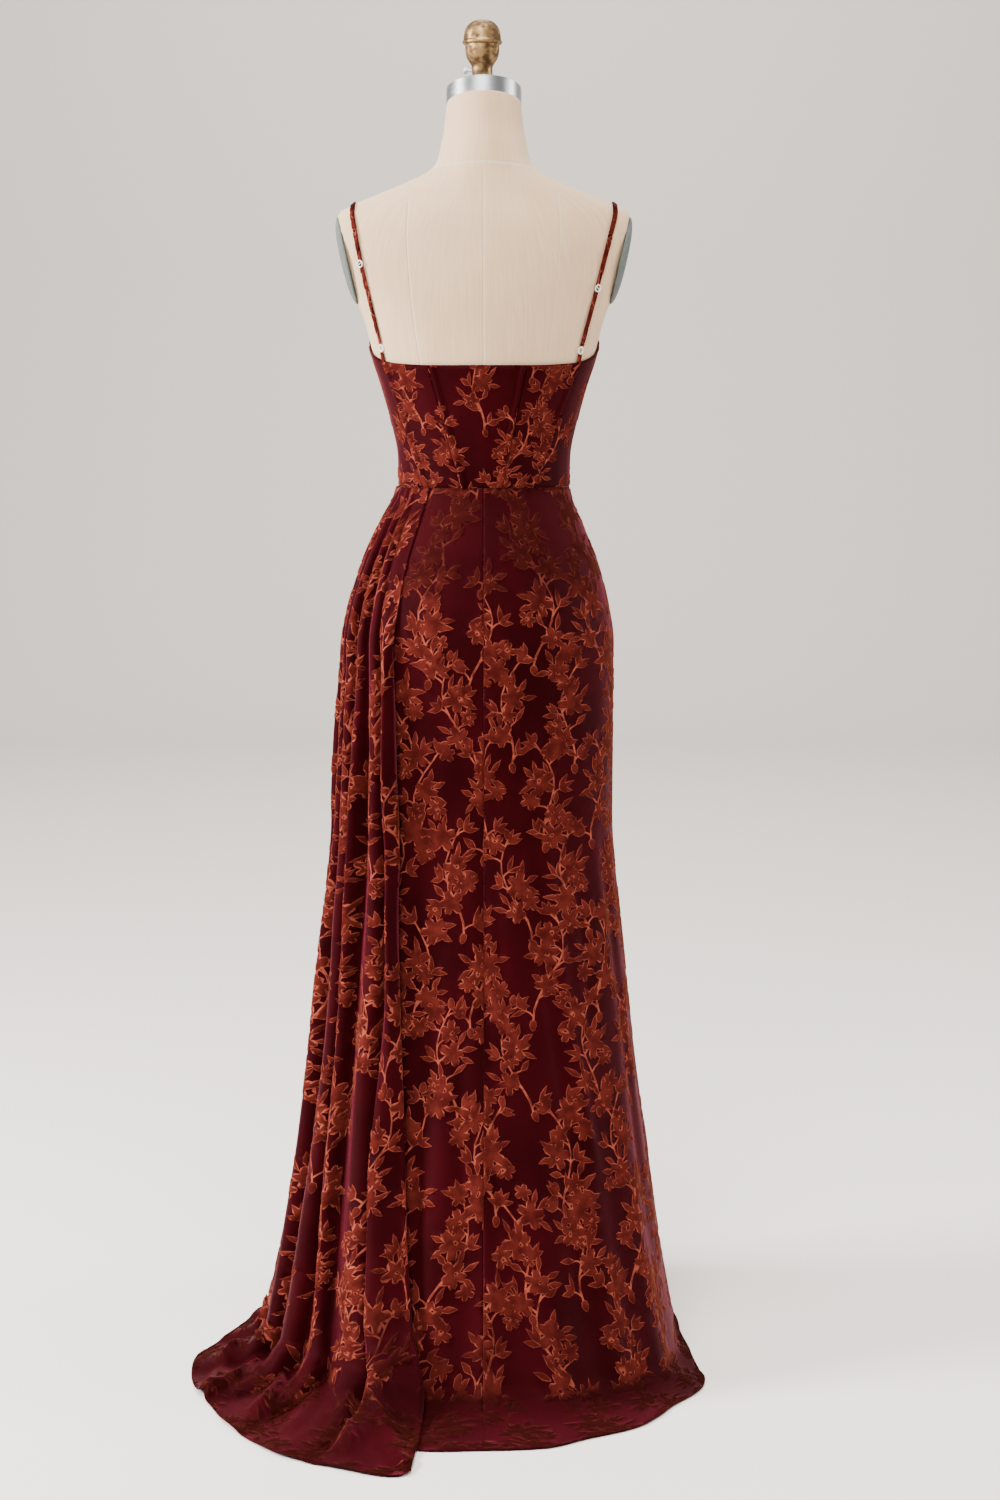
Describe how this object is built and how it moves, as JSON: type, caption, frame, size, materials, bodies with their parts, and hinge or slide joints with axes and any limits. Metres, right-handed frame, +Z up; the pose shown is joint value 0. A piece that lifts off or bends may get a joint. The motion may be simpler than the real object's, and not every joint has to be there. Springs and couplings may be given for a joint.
{
  "type": "prom dress on a dress form",
  "caption": "Floor-length prom dress with thin straps, a boned bodice and a pleated side drape with a small train, on a limbless dress form.",
  "frame": {"origin": "centre of the underside of the stand's base, on the floor, below the middle of the waist", "axes": "+Z up, -Y the way the back of the dress faces, +X to the right seen from behind"},
  "size_m": [0.6519, 0.7636, 1.7092],
  "materials": {
    "devore_velvet": "burnt-out velvet flowers on satin",
    "linen": "natural plain weave, stretched smooth",
    "felt": "matt felt",
    "brushed_silver": "brushed",
    "aged_brass": "aged, dull in the hollows",
    "black_iron": "satin black",
    "clear_plastic": "clear, glossy"
  },
  "bodies": {
    "root": {"form_torso": "linen", "form_neck_ring": "brushed_silver", "form_finial": "aged_brass", "form_finial_screw": "brushed_silver", "form_arm_plate_left": "felt", "form_arm_plate_right": "felt", "form_base": "black_iron", "form_pole": "brushed_silver", "bodice_back_centre": "devore_velvet", "bodice_back_left": "devore_velvet", "bodice_back_right": "devore_velvet", "bodice_side_right": "devore_velvet", "bodice_side_left": "devore_velvet", "bodice_front_right": "devore_velvet", "bodice_front_left": "devore_velvet", "bodice_front_centre": "devore_velvet", "strap_left": "devore_velvet", "strap_tab_left": "devore_velvet", "strap_ring_left": "clear_plastic", "strap_slider_left": "clear_plastic", "strap_right": "devore_velvet", "strap_tab_right": "devore_velvet", "strap_ring_right": "clear_plastic", "strap_slider_right": "clear_plastic", "skirt_back_right": "devore_velvet", "skirt_back_left": "devore_velvet", "skirt_front": "devore_velvet", "side_drape": "devore_velvet"}
  },
  "joints": []
}
